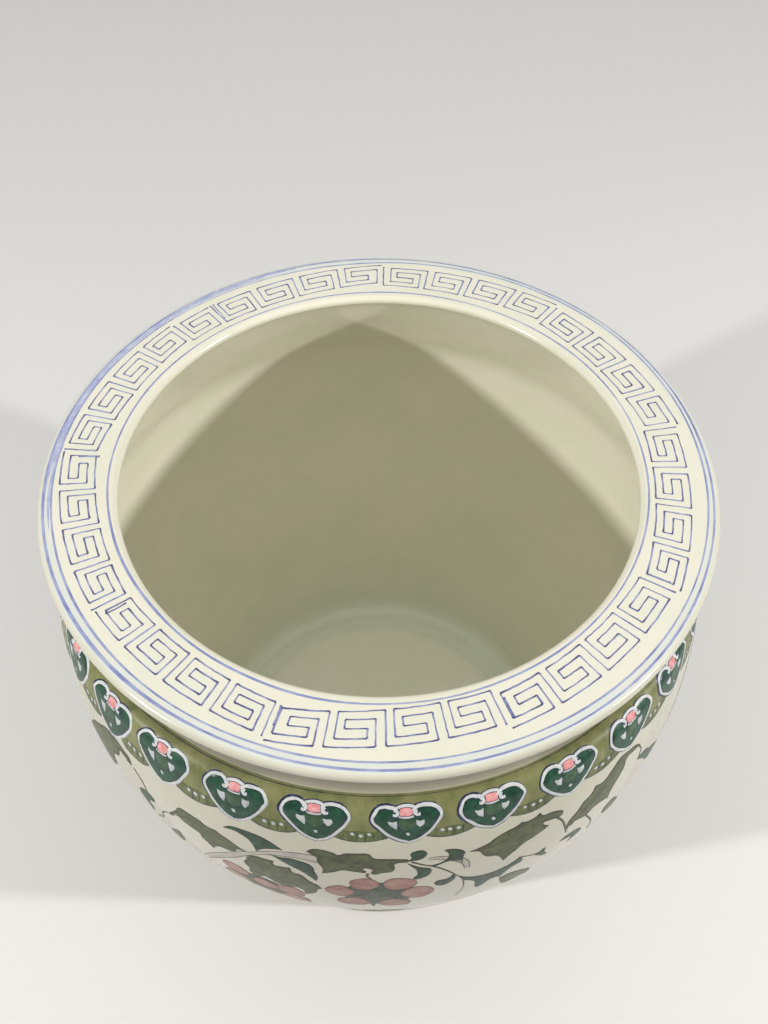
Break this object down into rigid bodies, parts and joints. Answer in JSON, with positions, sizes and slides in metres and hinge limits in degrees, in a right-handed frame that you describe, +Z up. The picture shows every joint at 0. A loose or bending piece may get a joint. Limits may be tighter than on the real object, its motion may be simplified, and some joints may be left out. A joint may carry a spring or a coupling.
{
  "type": "jardiniere",
  "caption": "Round footed porcelain fish-bowl planter with a broad flat rim, a Greek key border, a lappet band and a lotus scroll.",
  "frame": {"origin": "middle of the foot's resting face, on the surface that the bowl stands on", "axes": "+Z up along the bowl's axis of symmetry; -Y is the side towards the camera in the picture"},
  "size_m": [0.4176, 0.4176, 0.36],
  "materials": {
    "glazed_porcelain": "clear glossy glaze over painted enamels",
    "bare_porcelain": "unglazed, matt, fine grain"
  },
  "bodies": {
    "root": {"foot_ring": "bare_porcelain", "base_dish": "glazed_porcelain", "lower_body": "glazed_porcelain", "upper_body": "glazed_porcelain", "neck_collar": "glazed_porcelain", "rim_flange": "glazed_porcelain"}
  },
  "joints": []
}
